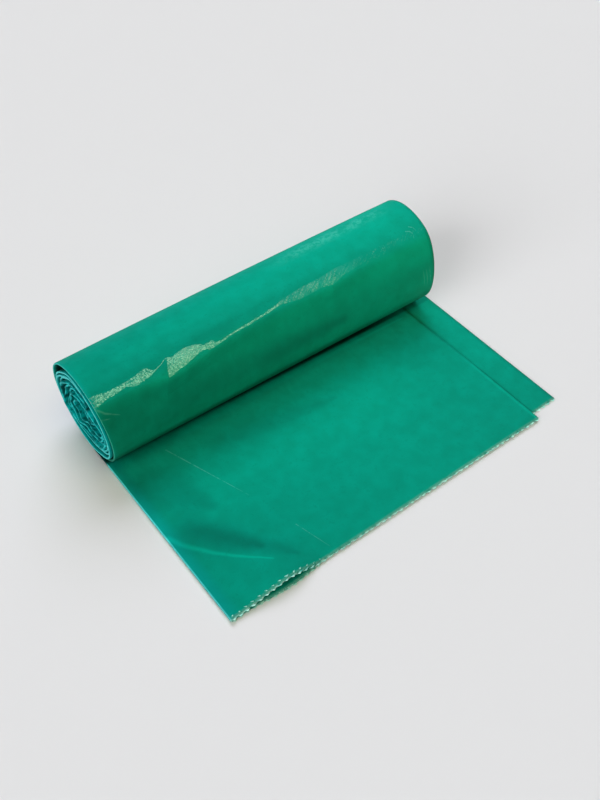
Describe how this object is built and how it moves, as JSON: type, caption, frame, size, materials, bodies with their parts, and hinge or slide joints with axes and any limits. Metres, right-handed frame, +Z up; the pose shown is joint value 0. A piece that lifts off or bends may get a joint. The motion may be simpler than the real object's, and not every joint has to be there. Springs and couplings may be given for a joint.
{
  "type": "bin bag roll",
  "caption": "Coreless oval roll of perforated plastic bin bags, folded lengthwise, with the last bag laid out flat in front and its torn end slightly open.",
  "frame": {"origin": "middle of the line on which the roll rests, on the surface below it", "axes": "+X along the roll from its folded end to its open end, -Y towards the torn edge of the last bag, +Z up"},
  "size_m": [0.2329, 0.1712, 0.0574],
  "materials": {
    "film": "thin waxy polythene film, teal green, semi-gloss with fine crinkles"
  },
  "bodies": {
    "root": {"bag_roll": "film"}
  },
  "joints": []
}
